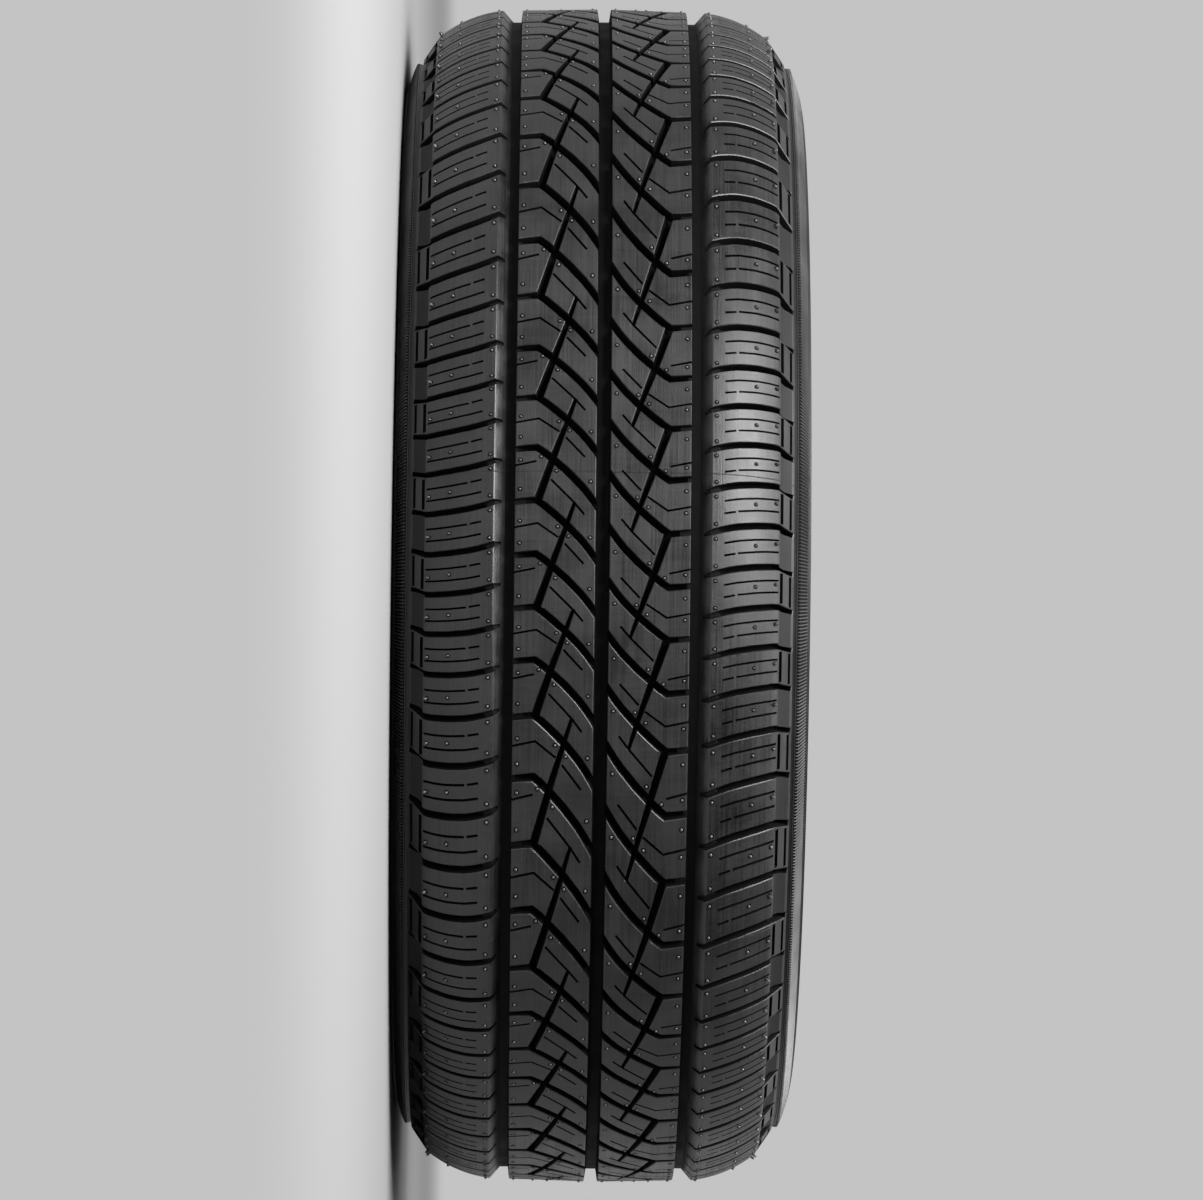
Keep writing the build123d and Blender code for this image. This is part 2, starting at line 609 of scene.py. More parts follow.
    def chamfer(self, cell: Piece) -> None:
        """Chamfer the edges between the tread's surface and the groove walls.

        Args:
            cell: Flat cell.
        """
        mesh = cell.data
        top = np.abs(corners(cell)[:, 2]) < TOUCH
        beside: dict[int, list[bool]] = {edge.index: [] for edge in mesh.edges}
        for face in mesh.polygons:
            for loop in face.loop_indices:
                beside[mesh.loops[loop].edge_index].append(face.normal.z > self.level_tilt)
        ends = [end * self.pitch for end in self.reach]
        chosen = []
        for edge in mesh.edges:
            along = [mesh.vertices[corner].co.y for corner in edge.vertices]
            at_end = any(max(abs(place - end) for place in along) < TOUCH for end in ends)
            on_top = all(top[corner] for corner in edge.vertices)
            chosen.append(on_top and not at_end and sorted(beside[edge.index]) == [False, True])
        open_mesh(cell)
        bpy.ops.mesh.select_mode(type="EDGE")
        bpy.ops.mesh.select_all(action="DESELECT")
        close_mesh()
        mesh.edges.foreach_set("select", chosen)
        choose(cell)
        bpy.ops.object.mode_set(mode="EDIT")
        bpy.ops.mesh.bevel(offset=self.chamfer_size, segments=1, affect="EDGES", clamp_overlap=False)
        close_mesh()

    def slice_cell(self, cell: Piece) -> None:
        """Trim the cell to its length and slice it where the tyre's roundness bends it.

        Args:
            cell: Flat cell.
        """
        length = self.cell_pitches * self.pitch
        open_mesh(cell)
        bisect((0, 0, 0), (0, 1, 0), clear_inner=True)
        bisect((0, length, 0), (0, 1, 0), clear_outer=True)
        for strip in range(1, self.strips):
            bisect((0, length * strip / self.strips, 0), (0, 1, 0))
        for fold in self.folds():
            bisect((fold, 0, 0), (1, 0, 0))
        bpy.ops.mesh.select_all(action="SELECT")
        bpy.ops.mesh.quads_convert_to_tris(quad_method="BEAUTY", ngon_method="BEAUTY")
        close_mesh()

    def sink_dishes(self, cell: Piece) -> None:
        """Sink the small round dishes that the vent pips stand in.

        Args:
            cell: Flat cell.
        """
        tools = []
        for across, along, _ in self.pips:
            for turn in (-1, 0, 1):
                place = along + turn * self.cell_pitches
                if self.reach[0] < place < self.reach[1]:
                    bpy.ops.mesh.primitive_cylinder_add(
                        vertices=self.dish_sides,
                        radius=self.dish_radius,
                        depth=2 * self.dish_depth,
                        location=(self.flat(across), place * self.pitch, 0),
                    )
                    tools.append(added("dish"))
        take_away(cell, joined(tools))

    def add_pips(self, cell: Piece) -> None:
        """Set the vent pips in their dishes, each a small dome on a foot that is sunk in the dish.

        Args:
            cell: Flat cell.
        """
        domes = []
        for across, along, height in self.pips:
            place = along % self.cell_pitches * self.pitch
            bpy.ops.mesh.primitive_ico_sphere_add(
                subdivisions=self.pip_detail,
                radius=1,
                location=(self.flat(across), place, (height - self.pip_root) / 2),
                scale=(self.pip_radius, self.pip_radius, (height + self.pip_root) / 2),
            )
            domes.append(added("pip"))
        joined([cell, *domes])

    def patch(self, face: Face) -> Patch:
        """Tell which patch a face belongs to; the rib's sloping side counts as its top.

        Args:
            face: Face of the flat cell.

        Returns:
            The patch.
        """
        depth = -face.center.z
        if depth < -self.pip_rise:
            return Patch.PIP
        if face.normal.z < self.wall_tilt and depth > self.chamfer_size:
            return Patch.GROOVE_PAINTED_SHADE
        if face.normal.z < self.floor_tilt or depth < self.bar_margin:
            return Patch.TOP
        return Patch.GROOVE_PAINTED_SHADE if depth > self.bar_depth + self.bar_margin else Patch.BAR

    def mark_patches(self, cell: Piece) -> None:
        """Give each face of the cell the material number of its patch."""
        for face in cell.data.polygons:
            face.material_index = self.patch(face).value

    def repeat(self, cell: Piece) -> None:
        """Repeat the cell along the whole tread and note how deep each point lies.

        Args:
            cell: Flat cell.
        """
        count = self.plan.pitches // self.cell_pitches
        apply_modifier(
            cell,
            "ARRAY",
            count=count,
            use_relative_offset=False,
            use_constant_offset=True,
            constant_offset_displace=(0, self.cell_pitches * self.pitch, 0),
            use_merge_vertices=True,
            merge_threshold=TOUCH,
        )
        depth = cell.data.attributes.new(DEPTH, "FLOAT", "POINT")
        depth.data.foreach_set("value", np.maximum(-corners(cell)[:, 2], 0).astype(np.float32))

    def wrap(self, tread: Piece, shift: float) -> None:
        """Wrap the flat tread round the tyre's lower half.

        Args:
            tread: Repeated cells.
            shift: Pitches by which they are moved on.
        """
        places = corners(tread)
        radius, width = self.lift(places[:, 0], places[:, 2])
        angle = self.plan.angles(places[:, 1] / self.pitch + shift)
        wrapped = np.column_stack([radius * np.cos(angle), radius * np.sin(angle), -width])
        set_corners(tread, wrapped * MM)
        open_mesh(tread)
        bpy.ops.mesh.remove_doubles(threshold=WELD)
        close_mesh()

    def build(self) -> list[Piece]:
        """Model the rib's lower half and turn a copy of it end for end for the upper half.

        Returns:
            The lower and the upper rib.
        """
        cell = self.plate()
        self.carve(cell, self.grooves())
        self.chamfer(cell)
        self.carve(cell, self.sipes())
        self.sink_dishes(cell)
        self.slice_cell(cell)
        self.add_pips(cell)
        self.mark_patches(cell)
        self.repeat(cell)
        cell.name = f"{self.name}_lower"
        choose(cell)
        bpy.ops.object.duplicate()
        twin = bpy.context.active_object
        twin.name = f"{self.name}_upper"
        self.wrap(cell, 0.0)
        self.wrap(twin, self.twin_shift)
        twin.data.transform(self.plan.end_for_end())
        for piece in (cell, twin):
            smooth(piece)
        return [cell, twin]

    def dress(self, pieces: Sequence[Piece], finishes: dict[Patch, Material]) -> None:
        """Give the ribs the rubbers of their patches and hand them over."""
        for piece in pieces:
            hand_over(piece, *[finishes[patch] for patch in Patch])


@dataclass(frozen=True)
class CentreRib(TreadRib):
    """Rib beside the centre groove, with slanting grooves, a long diagonal and thin cuts."""

    name: str = "tread_centre"
    diagonal_depth: float = 6.2
    pips: tuple[Spot, ...] = (
        (46.0, 1.61, 0.8),
        (46.0, 1.20, 0.8),
        (46.0, 0.755, 0.8),
        (46.0, 0.20, 0.8),
        (34.5, 0.82, 0.8),
        (25.0, 1.51, 0.8),
        (19.0, 1.33, 0.8),
        (26.0, 0.55, 0.8),
        (7.0, 0.35, 0.8),
        (7.0, 1.31, 0.8),
    )

    @property
    def pip_height(self) -> float:
        """Height of the tallest pip, whose top reaches the tyre's outer radius."""
        return max(height for _, _, height in self.pips)

    def edges(self) -> Edges:
        """Flat places of the plate's sides: outer top, outer bottom, inner top and inner bottom."""
        section = self.section
        return (
            self.flat(section.centre_rib_outside),
            self.flat(section.main_floor_inside),
            self.flat(section.centre_rib_inside),
            self.flat(section.centre_floor),
        )

    def grooves(self) -> list[Cut]:
        """Grooves of one cell: two slanting cross grooves, shallow at their outer ends, and the diagonal.

        Returns:
            The cuts.
        """
        bar, deep = self.bar_depth, self.groove_depth
        slant = (
            (36.8, 0.0, 2.2, deep),
            (33.0, -0.085, 2.25, deep),
            (27.5, -0.235, 2.3, deep),
            (20.0, -0.455, 2.3, deep),
            (12.0, -0.728, 2.25, deep),
            (8.0, -0.89, 2.2, deep),
            (4.0, -1.075, 2.15, deep),
            (1.0, -1.225, 2.1, deep),
        )
        even = ((51.0, -0.045, 1.8, bar), (42.8, -0.016, 1.9, bar), (38.2, -0.002, 2.1, deep), *slant)
        odd = ((51.0, -0.045, 1.8, bar), (47.0, -0.03, 1.9, bar), (42.4, -0.014, 2.0, deep), *slant)
        diagonal = ((35.8, 0.03, 2.4), (27.5, 0.85, 2.0), (20.5, 1.5, 1.5), (15.8, 1.96, 1.0))
        return [
            Cut(even, self.draft),
            Cut(odd, self.draft).moved(1),
            Cut(tuple((*point, self.diagonal_depth) for point in diagonal), self.draft),
        ]

    def sipes(self) -> list[Cut]:
        """Thin cuts of one cell.

        Returns:
            The cuts.
        """
        lines = (
            ((29.0, 0.39), (16.0, -0.04), (10.3, -0.265)),
            ((21.0, 1.20), (10.3, 0.82)),
            ((50.0, 1.48), (36.0, 1.57), (24.5, 1.31)),
            ((50.0, 0.64), (37.0, 0.735)),
        )
        return [even_cut(self.sipe_half, self.sipe_depth, *line) for line in lines]

    def lift(self, flat: np.ndarray, height: np.ndarray) -> tuple[np.ndarray, np.ndarray]:
        """Lift flat places on to the tyre.

        Args:
            flat: Flat places across the rib.
            height: Their heights over the surface.

        Returns:
            Radii and distances from the middle.
        """
        section = self.section
        span = section.centre_rib_outside - section.centre_rib_inside
        share = np.clip((-flat - section.centre_rib_inside) / span, 0, 1)
        crown = section.tread_radius - self.pip_height
        return crown - section.centre_rib_drop * share + height, -flat


@dataclass(frozen=True)
class ShoulderRib(TreadRib):
    """Outer rib of the tread, bent round the shoulder, with its buttress."""

    name: str = "tread_shoulder"
    bottom: float = -8.2
    strips: int = 6
    slot_depth: float = 4.6
    hollow_half: float = 12.4
    channel_across: float = 109.2
    channel_half: float = 3.6
    channel_depth: float = 3.5
    twin_shift: float = 1.0
    buried: float = 1.0
    blend: float = 3.0
    arc_strips: int = 12
    pips: tuple[Spot, ...] = (
        (62.6, 0.095, 1.0),
        (62.6, 0.745, 1.0),
        (84.9, 0.22, 1.2),
        (96.4, 0.145, 1.4),
        (62.6, 1.095, 1.0),
        (62.6, 1.745, 1.0),
        (84.9, 1.22, 1.2),
        (96.4, 1.145, 2.8),
    )

    def flat(self, across: float) -> float:
        """Flat place of a distance from the tyre's middle.

        Args:
            across: Distance from the tyre's middle.

        Returns:
            The flat place, measured along the shoulder's surface.
        """
        section = self.section
        if across < section.shoulder_inside:
            return -(across - section.shoulder_inside) / math.cos(section.shoulder_lean)
        if across > section.shoulder_outside:
            past = (across - section.shoulder_outside) / math.cos(section.buttress_lean)
            return -section.arc_length - past
        return -section.shoulder_radius * (section.lean_at(across) - section.shoulder_lean)

    def edges(self) -> Edges:
        """Flat places of the plate's sides: outer top, outer bottom, inner top and inner bottom.

        Returns:
            The four places.
        """
        section = self.section
        outer = -section.arc_length - section.buttress_length - self.buried
        slope = section.shoulder_inside - section.main_floor_outside
        return outer, outer, 0.0, slope

    def grooves(self) -> list[Cut]:
        """Grooves of one cell: hooked cross grooves, the buttress's hollow and the channel below it.

        Returns:
            The cuts.
        """
        bar, deep = self.bar_depth, self.groove_depth
        hooked = (
            (52.0, 0.05, 1.5, deep),
            (57.0, -0.015, 1.6, 5.2),
            (60.2, -0.055, 1.75, bar),
            (64.6, -0.112, 1.85, bar),
            (70.4, -0.172, 1.9, deep),
            (75.0, -0.21, 1.95, deep),
            (85.0, -0.26, 1.95, deep),
            (95.0, -0.286, 1.95, deep),
            (98.5, -0.28, 1.9, deep),
            (102.0, -0.21, 1.75, deep),
            (106.4, -0.13, 1.6, deep),
        )
        hollow = (
            (98.9, 1.225, self.hollow_half, 0.9),
            (100.6, 1.26, self.hollow_half, 2.6),
            (103.2, 1.31, self.hollow_half, 2.5),
            (106.3, 1.37, self.hollow_half, -0.2),
        )
        ends = (-2 * self.spare, self.cell_pitches + 2 * self.spare)
        places = [(self.channel_across, end) for end in ends]
        channel = replace(even_cut(self.channel_half, self.channel_depth, *places), endless=True)
        groove = Cut(hooked, self.draft)
        return [groove, groove.moved(1), Cut(hollow, sheared=True), channel]

    def sipes(self) -> list[Cut]:
        """Thin cuts of one cell: a whole line and a broken one on each block, and the buttress's slots.

        Returns:
            The cuts.
        """
        short = ((67.3, -0.145), (73.6, -0.198))
        long = ((75.0, -0.21), (85.0, -0.26), (92.0, -0.28), (98.0, -0.286))
        slots = ((1.5, (99.7, -0.14), (99.7, 0.63)), (1.2, (104.8, -0.055), (104.8, 0.735)))
        cuts = [even_cut(half, self.slot_depth, *ends) for half, *ends in slots]
        for block in range(self.cell_pitches):
            for line, shift in (((short[0], *long), 0.335), (short, 0.63), (long, 0.63)):
                cuts.append(even_cut(self.sipe_half, self.sipe_depth, *line).moved(block + shift))
        return cuts

    def patch(self, face: Face) -> Patch:
        """Tell which patch a face belongs to, with the buttress's hollows apart.

        Args:
            face: Face of the flat cell.

        Returns:
            The patch.
        """
        patch = super().patch(face)
        past_edge = face.center.x < self.flat(self.section.shoulder_outside)
        return Patch.HOLLOW_PAINTED_SHADE if patch is Patch.BAR and past_edge else patch

    def folds(self) -> list[float]:
        """Flat places across the rib where the surface bends.

        Returns:
            The places.
        """
        section = self.section
        arc = [-section.arc_length * step / self.arc_strips for step in range(self.arc_strips + 1)]
        return [*arc, -section.arc_length - self.blend, -section.arc_length + self.blend]

    def lift(self, flat: np.ndarray, height: np.ndarray) -> tuple[np.ndarray, np.ndarray]:
        """Lift flat places on to the tyre.

        Args:
            flat: Flat places across the rib.
            height: Their heights over the surface.

        Returns:
            Radii and distances from the middle.
        """
        section = self.section
        along = -flat
        on_arc = np.clip(along, 0, section.arc_length)
        first, last = section.shoulder_lean, section.buttress_lean
        lean = first + on_arc / section.shoulder_radius
        before = np.minimum(along, 0)
        past = np.maximum(along - section.arc_length, 0)
        centre_radius, centre_width = section.arc_centre
        radius = centre_radius + section.shoulder_radius * np.cos(lean)
        width = centre_width + section.shoulder_radius * np.sin(lean)
        radius -= before * math.sin(first) + past * math.sin(last)
        width += before * math.cos(first) + past * math.cos(last)
        start = section.arc_length - self.blend
        share = np.clip((along - start) / (2 * self.blend), 0, 1)
        normal = lean + (last - lean) * share
        return radius + height * np.cos(normal), width + height * np.sin(normal)


@dataclass(frozen=True)
class Casing:
    """Body of the tyre under the tread: groove floors, sidewalls, beads and lining, spun in one piece.

    A face belongs to the lining where its normal looks inwards, by less than wall_turn sideways or, near the
    tread's middle, by less than crown_turn outwards.
    """

    section: TyreSection
    steps: int = 288
    shoulder_sink: float = 7.6
    ramp: float = 5.0
    arc_points: int = 12
    bead_height: float = 0.5
    bead_width: float = 0.9
    upper_rings: tuple[float, ...] = (0.38, 0.54)
    band_start: float = 0.575
    lower_rings: tuple[float, ...] = (0.34, 0.68, 0.93)
    ring_share: float = 0.03
    ring_height: float = 0.8
    floor_sink: float = 0.5
    wall_turn: float = -0.05
    crown_turn: float = -0.5
    crown_share: float = 1.5

    def outside(self) -> list[Point]:
        """Half of the outline, from the middle of the tread to the bead's toe.

        Returns:
            The points.
        """
        section = self.section
        floor = section.tread_radius - section.groove_depth
        main = floor - section.centre_rib_drop
        shares = [step / self.arc_points for step in range(self.arc_points + 1)]
        points = [(floor - self.floor_sink, 0.0), (floor - self.floor_sink, section.centre_floor)]
        points += [(main, section.main_floor_inside), (main, section.main_floor_outside)]
        for share in shares:
            lean = section.shoulder_lean + share * (section.edge_lean - section.shoulder_lean)
            points.append(section.shoulder_point(lean, self.shoulder_sink))
        ring_radius, ring_width = section.ring()
        lean = section.buttress_lean
        back = (
            ring_radius + self.ramp * math.sin(lean) - self.shoulder_sink * math.cos(lean),
            ring_width - self.ramp * math.cos(lean) - self.shoulder_sink * math.sin(lean),
        )
        bead_radius = ring_radius + self.bead_height
        bead_start = ring_width - self.bead_width
        points += [
            back,
            (ring_radius, bead_start),
            (bead_radius, bead_start + self.bead_height / 2),
            (bead_radius, ring_width),
            (ring_radius, ring_width + self.bead_height / 2),
            (ring_radius, ring_width + section.ring_step),
        ]
        points += reversed(self.ringed(section.upper_sidewall, shares[:-1], self.upper_rings))
        points += self.ringed(section.lower_sidewall, shares[1:], self.lower_rings)
        seat_outside = section.bead_width - section.heel
        seat_inside = seat_outside - section.seat_width
        points += [
            (section.seat_radius + section.heel, section.bead_width),
            (section.seat_radius, seat_outside),
            (section.seat_radius, seat_inside),
            (section.seat_radius + section.toe_rise, seat_inside - section.toe_width),
        ]
        return points

    def ringed(
        self, arc: Callable[[float], Spot], shares: list[float], rings: Sequence[float]
    ) -> list[Point]:
        """Points of a sidewall arc with thin raised rings on it.

        Args:
            arc: Gives the point and lean of the arc at a share.
            shares: Places of the arc's plain points.
            rings: Places of the rings.

        Returns:
            The points in the order of their shares.
        """
        lifts = {share: 0.0 for share in shares}
        for ring in rings:
            half = self.ring_share / 2
            lifts |= {ring - half: 0.0, ring - half / 2: self.ring_height}
            lifts |= {ring + half / 2: self.ring_height, ring + half: 0.0}
        points = []
        for share, lift in sorted(lifts.items()):
            radius, width, lean = arc(share)
            points.append((radius + lift * math.sin(lean), width + lift * math.cos(lean)))
        return points

    def lining(self) -> list[Point]:
        """Half of the outline, along the lining from the bead to the crown."""
        section = self.section
        return [
            (section.seat_radius + section.flange_height, section.flange_width - section.bead_thickness),
            (section.widest_radius, section.half_width - section.sidewall_thickness),
            section.shoulder_point(section.lining_lean, section.shoulder_thickness),
            (section.tread_radius - section.crown_thickness, section.lining_crown),
        ]

    def build(self) -> Piece:
        """Draw the whole section as a closed loop and spin it round the axle.

        Returns:
            The casing.
        """
        half = self.outside() + self.lining()
        outline = half + [(radius, -width) for radius, width in reversed(half) if width > 0]
        bpy.ops.mesh.primitive_circle_add(vertices=len(outline), radius=1, fill_type="NOTHING")
        piece = added("tyre_casing")
        set_corners(piece, np.array([(radius, 0, width) for radius, width in outline]) * MM)
        open_mesh(piece)
        bpy.ops.mesh.spin(steps=self.steps, angle=2 * math.pi, center=(0, 0, 0), axis=(0, 0, 1))
        bpy.ops.mesh.select_all(action="SELECT")
        bpy.ops.mesh.remove_doubles(threshold=WELD)
        bpy.ops.mesh.normals_make_consistent(inside=False)
        close_mesh()
        smooth(piece)
        return piece

    def zone(self, face: Face) -> Zone:
        """Tell which zone of the casing a face lies in.

        Args:
            face: Face of the casing.

        Returns:
            The zone.
        """
        radius = math.hypot(face.center.x, face.center.y) / MM
        width = abs(face.center.z) / MM
        outward = (face.normal.x * face.center.x + face.normal.y * face.center.y) / (radius * MM)
        sideward = face.normal.z * math.copysign(1, face.center.z)
        toe_radius = self.section.seat_radius + self.section.toe_rise
        ring_radius, ring_width = self.section.ring()
        crown = outward < self.crown_turn and width < ring_width / self.crown_share
        if radius > toe_radius and (crown or sideward < self.wall_turn):
            return Zone.LINING
        if radius > ring_radius and width < self.section.shoulder_outside and outward > 0:
            return Zone.GROOVES
        if width > ring_width and radius > self.section.upper_sidewall(self.band_start)[0]:
            return Zone.BAND
        return Zone.SIDEWALL

    def dress(self, piece: Piece, finishes: dict[Zone, Material]) -> None:
        """Give each zone of the casing its rubber and hand the casing over.

        Args:
            piece: The casing.
            finishes: Material of each zone.
        """
        for face in piece.data.polygons:
            face.material_index = self.zone(face).value
        hand_over(piece, *[finishes[zone] for zone in Zone])


@dataclass(frozen=True)
class SidewallBand:
    """Band of fine radial ribs on the sidewall, just below the raised ring."""

    section: TyreSection
    half: Half
    count: int = 1020
    rib_width: float = 1.1
    rib_height: float = 0.7
    sunk: float = 0.3
    first: float = 0.59
    slices: int = 4
    land_start: float = 0.4
    corner_lean: float = math.radians(56.0)

    def spot(self, step: int) -> Spot:
        """Point and lean of a rib at a step: the last step lies on the land beside the raised ring.

        Args:
            step: Step along the rib.

        Returns:
            Radius, distance from the middle and lean.
        """
        if step == self.slices:
            radius, width = self.section.ring()
            return radius, width + self.land_start, math.pi / 2
        share = self.first + (1 - self.first) * step / (self.slices - 1)
        radius, width, lean = self.section.upper_sidewall(share)
        return radius, width, self.corner_lean if step == self.slices - 1 else lean

    def build(self) -> Piece:
        """Model one rib as a bent three-sided bar and array it round the axle.

        Returns:
            The ribs of one sidewall.
        """
        bpy.ops.mesh.primitive_cylinder_add(vertices=3, radius=1, depth=1)
        piece = added(f"sidewall_ribs_{self.half.name.lower()}")
        open_mesh(piece)
        for step in range(1, self.slices):
            bisect((0, 0, step / self.slices - 0.5), (0, 0, 1))
        close_mesh()
        bar = corners(piece)
        crest = bar[:, 1] > 0.5
        height = np.where(crest, self.rib_height, -self.sunk)
        across = np.where(crest, 0.0, np.sign(bar[:, 0]) * self.rib_width / 2)
        places = []
        for step, lift, aside in zip(np.rint((bar[:, 2] + 0.5) * self.slices), height, across):
            radius, width, lean = self.spot(int(step))
            out = radius + lift * math.sin(lean)
            places.append((out, aside, self.half.value * (width + lift * math.cos(lean))))
        set_corners(piece, np.array(places) * MM)
        face_outwards(piece)
        bpy.ops.object.empty_add(rotation=(0, 0, 2 * math.pi / self.count))
        pivot = bpy.context.active_object
        bpy.context.view_layer.update()
        apply_modifier(
            piece,
            "ARRAY",
            count=self.count,
            use_relative_offset=False,
            use_object_offset=True,
            offset_object=pivot,
        )
        bpy.data.objects.remove(pivot)
        return piece

    def dress(self, piece: Piece, finish: Material) -> None:
        """Give the ribs their rubber and hand them over."""
        hand_over(piece, finish)


class Bench:
    """Node tree on which a finish is laid out."""

    def __init__(self, tree: Tree) -> None:
        """Keep the tree that the nodes go into."""
        self.tree = tree

    def add(self, kind: str, feeds: dict[str | int, Feed], **settings: object) -> bpy.types.Node:
        """Add a node, set it and feed its inputs.

        Args:
            kind: Type of the node.
            feeds: Values or other nodes' sockets for the inputs, by name or number.
            settings: Values of the node's properties.

        Returns:
            The node.
        """
        node = self.tree.nodes.new(kind)
        for name, value in settings.items():
            setattr(node, name, value)
        for name, value in feeds.items():
            if isinstance(value, Socket):
                self.tree.links.new(value, node.inputs[name])
            else:
                node.inputs[name].default_value = value
        return node

    def math(self, operation: str, *feeds: Feed) -> Socket:
        """Work out a number with a Math node."""
        return self.add("ShaderNodeMath", dict(enumerate(feeds)), operation=operation).outputs[0]

    def ranged(self, feed: Feed, low: float, high: float, first: float, last: float) -> Socket:
        """Bring a number from the range low to high into the range first to last, and keep it there."""
        return self.add("ShaderNodeMapRange", {0: feed, 1: low, 2: high, 3: first, 4: last}).outputs[0]

    def eased(self, feed: Feed, low: float, high: float) -> Socket:
        """Bring a number from the range low to high softly into the range 0 to 1."""
        feeds = {0: feed, 1: low, 2: high}
        return self.add("ShaderNodeMapRange", feeds, interpolation_type="SMOOTHERSTEP").outputs[0]

    def noise(self, place: Feed, scale: float, detail: float) -> Socket:
        """Give soft noise from 0 to 1 at a place."""
        feeds = {"Vector": place, "Scale": scale, "Detail": detail}
        return self.add("ShaderNodeTexNoise", feeds).outputs["Fac"]

    def mix(self, share: Feed, first: Feed, last: Feed) -> Socket:
        """Mix two colours by a share. A Mix node's colours are its inputs 6 and 7 and its output 2."""
        return self.add("ShaderNodeMix", {0: share, 6: first, 7: last}, data_type="RGBA").outputs[2]

    def group(self, tree: Tree, **feeds: Feed) -> Sockets:
        """Place a node group, feed its inputs and return its outputs."""
        return self.add("ShaderNodeGroup", feeds, node_tree=tree).outputs


class Effect:
    """Node group for an effect that several finishes share."""

    def __init__(self, name: str, inputs: Sequence[str], outputs: Sequence[str]) -> None:
        """Start the group: its first input is a place, and all its other sockets are numbers.

        Args:
            name: Name of the group.
            inputs: Names of its inputs.
            outputs: Names of its outputs.
        """
        self.tree = bpy.data.node_groups.new(name, "ShaderNodeTree")
        for count, socket in enumerate(inputs):
            kind = "NodeSocketFloat" if count else "NodeSocketVector"
            self.tree.interface.new_socket(socket, in_out="INPUT", socket_type=kind)
        for socket in outputs:
            self.tree.interface.new_socket(socket, in_out="OUTPUT", socket_type="NodeSocketFloat")
        self.bench = Bench(self.tree)
        self.feeds = self.bench.add("NodeGroupInput", {}).outputs

    def close(self, **results: Feed) -> Tree:
        """Link the results to the group's outputs and return the group."""
        self.bench.add("NodeGroupOutput", dict(results))
        return self.tree


def round_places() -> Tree:
    """Make the group that turns a place into its radius, its turn about the axle and its height.

    Returns:
        The group.
    """
    effect = Effect("round_places", ("Place",), ("Radius", "Turn", "Height"))
    bench = effect.bench
    split = bench.add("ShaderNodeSeparateXYZ", {0: effect.feeds["Place"]}).outputs
    squares = bench.math("MULTIPLY_ADD", split[0], split[0], bench.math("MULTIPLY", split[1], split[1]))
    turn = bench.math("DIVIDE", bench.math("ARCTAN2", split[1], split[0]), 2 * math.pi)
    return effect.close(Radius=bench.math("SQRT", squares), Turn=turn, Height=split[2])


@dataclass(frozen=True)
class RubberSkin:
    """Skin that all rubbers share: fine streaks round and across the tyre, blotches and grain."""

    streaks_round: Spot = (18.0, 18.0, 1300.0)
    streaks_across: Spot = (800.0, 800.0, 30.0)
    streak_detail: float = 3.0
    streak_range: Point = (0.48, 0.92)
    across_share: float = 0.4
    blotch_scale: float = 38.0
    blotch_detail: float = 4.0
    blotch_range: Point = (0.3, 0.7)
    blotch_tones: Point = (0.1, 0.9)
    grain_scale: float = 1500.0
    grain_detail: float = 2.0

    def group(self) -> Tree:
        """Make the group that turns a place and the strength of the streaks into a tone and a relief.

        Returns:
            The group.
        """
        effect = Effect("rubber_grain", ("Place", "Streaks"), ("Tone", "Relief"))
        bench = effect.bench
        place, strength = effect.feeds["Place"], effect.feeds["Streaks"]
        streaks = []
        for scale in (self.streaks_across, self.streaks_round):
            stretched = bench.add("ShaderNodeMapping", {"Vector": place, "Scale": scale}).outputs[0]
            streaks.append(bench.noise(stretched, 1.0, self.streak_detail))
        streak = bench.math("MULTIPLY_ADD", streaks[0], self.across_share, streaks[1])
        blotch = bench.noise(place, self.blotch_scale, self.blotch_detail)
        grain = bench.noise(place, self.grain_scale, self.grain_detail)
        stroke = bench.math("MULTIPLY", bench.ranged(streak, *self.streak_range, -0.5, 0.5), strength)
        tone = bench.math("ADD", bench.ranged(blotch, *self.blotch_range, *self.blotch_tones), stroke)
        relief = bench.math("ADD", bench.math("MULTIPLY", streak, strength), grain)
        return effect.close(Tone=bench.ranged(tone, 0.0, 1.0, 0.0, 1.0), Relief=relief)


class Relief(Enum):
    """What a rubber surface carries beside its grain."""

    NONE = "nothing"
    MOULD_LINES = "thin lines where the mould's parts meet"
    RINGS = "fine rings about the axle"
    LATTICE = "crossing ridges"


